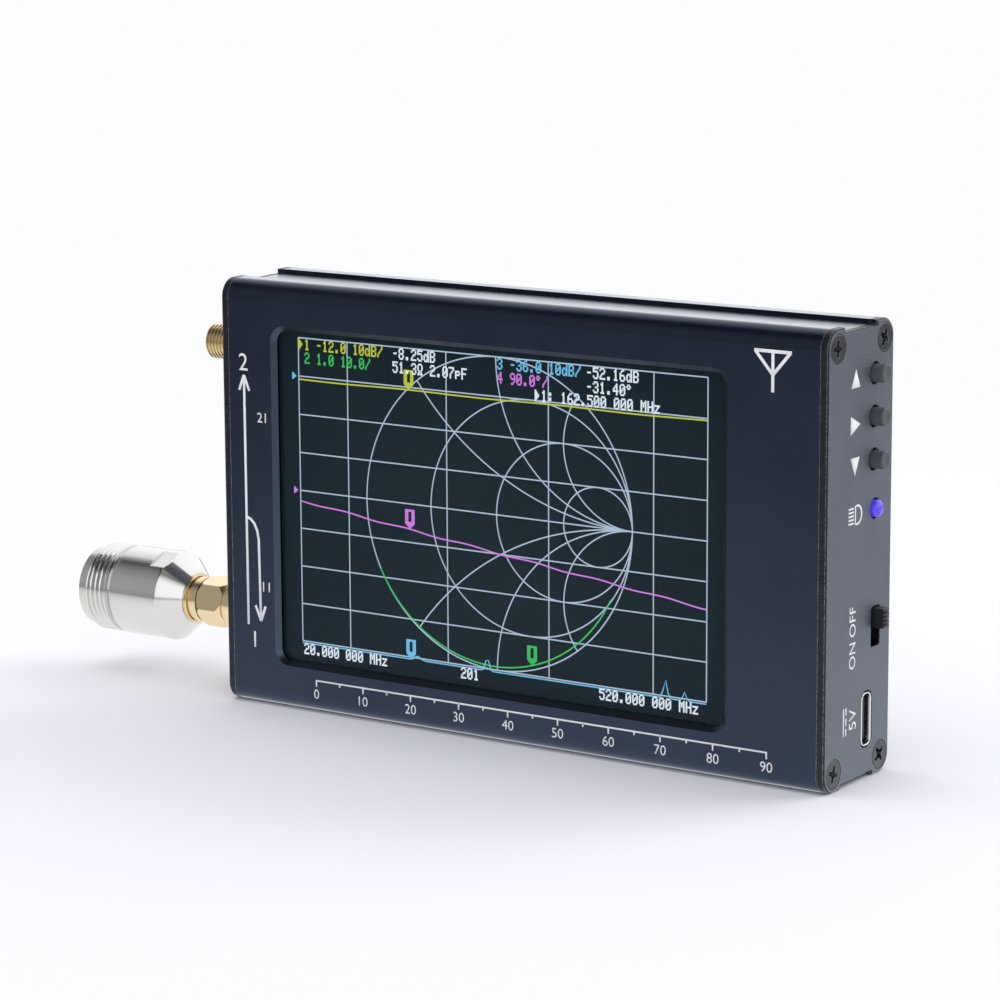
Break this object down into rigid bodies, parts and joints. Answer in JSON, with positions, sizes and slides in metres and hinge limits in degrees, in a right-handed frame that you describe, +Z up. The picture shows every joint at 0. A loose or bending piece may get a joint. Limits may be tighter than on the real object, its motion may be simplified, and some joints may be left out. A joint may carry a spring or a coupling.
{
  "type": "antenna analyzer",
  "caption": "Handheld radio antenna analyzer with a colour touch screen, push buttons, a power switch, threaded radio ports and a wide-thread adapter.",
  "frame": {"origin": "middle of the case in X and Y, on the surface that the case stands on", "axes": "+X along the case from the radio ports towards the buttons, the screen faces -Y, +Z up"},
  "size_m": [0.1598, 0.0216, 0.075],
  "materials": {
    "shell_finish": "satin dark blue-black anodised aluminium",
    "plate_finish": "grit-blasted dark grey anodised aluminium",
    "black_screw": "blackened steel",
    "cover_glass": "clear, polished",
    "panel": "display panel, dark, backlit",
    "tray": "pressed sheet",
    "tape": "black foam tape",
    "amber_film": "amber flexible circuit",
    "cream_plastic": "moulded connector",
    "black_plastic": "moulded, fine texture",
    "circuit_board": "green solder mask on glass fibre board",
    "steel": "plain steel",
    "tinned_sheet": "tinned sheet",
    "chip_black": "moulded package",
    "battery_foil": "soft foil pouch",
    "foam": "soft foam",
    "lead_red": "lead insulation",
    "button_grey": "moulded, satin",
    "lamp_violet": "tinted translucent lens",
    "socket_metal": "bright plated shell",
    "white_insulator": "waxy white insulator",
    "gilt": "gold-plated brass",
    "bright_nickel": "nickel-plated brass"
  },
  "bodies": {
    "case": {"backlight_tray": "tray", "battery": "battery_foil", "battery_foam": "foam", "battery_leads": "lead_red", "battery_plug": "cream_plastic", "battery_socket": "cream_plastic", "board_pillars": "steel", "board_screws": "steel", "clock_crystal": "chip_black", "display_panel": "panel", "display_ribbon": "amber_film", "display_tape": "tape", "front_shell": "shell_finish", "left_end_plate": "plate_finish", "left_plate_screws": "black_screw", "lower_port": "gilt", "lower_port_contact": "gilt", "lower_port_liner": "white_insulator", "lower_port_nut": "gilt", "lower_port_washer": "gilt", "lower_push_switch": "black_plastic", "lower_shield_can": "tinned_sheet", "main_board": "circuit_board", "middle_push_switch": "black_plastic", "power_shell": "socket_metal", "power_switch": "black_plastic", "power_tongue": "black_plastic", "processor": "chip_black", "rear_shell": "shell_finish", "ribbon_socket": "cream_plastic", "right_end_plate": "plate_finish", "right_plate_screws": "black_screw", "status_lamp": "lamp_violet", "support_chips": "chip_black", "switch_covers": "tinned_sheet", "touch_glass": "cover_glass", "upper_port": "gilt", "upper_port_contact": "gilt", "upper_port_liner": "white_insulator", "upper_port_nut": "gilt", "upper_port_washer": "gilt", "upper_push_switch": "black_plastic", "upper_shield_can": "tinned_sheet"},
    "upper_button": {"upper_button": "button_grey"},
    "middle_button": {"middle_button": "button_grey"},
    "lower_button": {"lower_button": "button_grey"},
    "power_slider": {"power_slider": "black_plastic"},
    "adapter": {"adapter_body": "bright_nickel", "adapter_liner": "white_insulator", "adapter_contact": "gilt", "adapter_ferrule": "gilt", "plug_liner": "white_insulator", "neck_liner": "white_insulator"},
    "coupling": {"coupling_nut": "gilt"}
  },
  "joints": [
    {"name": "upper_button_press", "type": "slide", "parent": "case", "child": "upper_button", "axis": [-1, 0, 0], "range_m": [0, 0.0003], "stiffness_N_per_m": 3000, "springref_m": -0.0001},
    {"name": "middle_button_press", "type": "slide", "parent": "case", "child": "middle_button", "axis": [-1, 0, 0], "range_m": [0, 0.0003], "stiffness_N_per_m": 3000, "springref_m": -0.0001},
    {"name": "lower_button_press", "type": "slide", "parent": "case", "child": "lower_button", "axis": [-1, 0, 0], "range_m": [0, 0.0003], "stiffness_N_per_m": 3000, "springref_m": -0.0001},
    {"name": "power_slide", "type": "slide", "parent": "case", "child": "power_slider", "axis": [0, 0, -1], "range_m": [0, 0.003]},
    {"name": "adapter_draw", "type": "slide", "parent": "case", "child": "adapter", "axis": [-1, 0, 0], "range_m": [0, 0.006]},
    {"name": "coupling_turn", "type": "hinge", "parent": "adapter", "child": "coupling", "pos_m": [-0.069, 0.0007, 0.0143], "axis": [-1, 0, 0], "range_deg": [0, 3060]}
  ],
  "couplings": [
    {"joint": "coupling_turn", "follows": "adapter_draw", "rad_per_m": 8900}
  ]
}
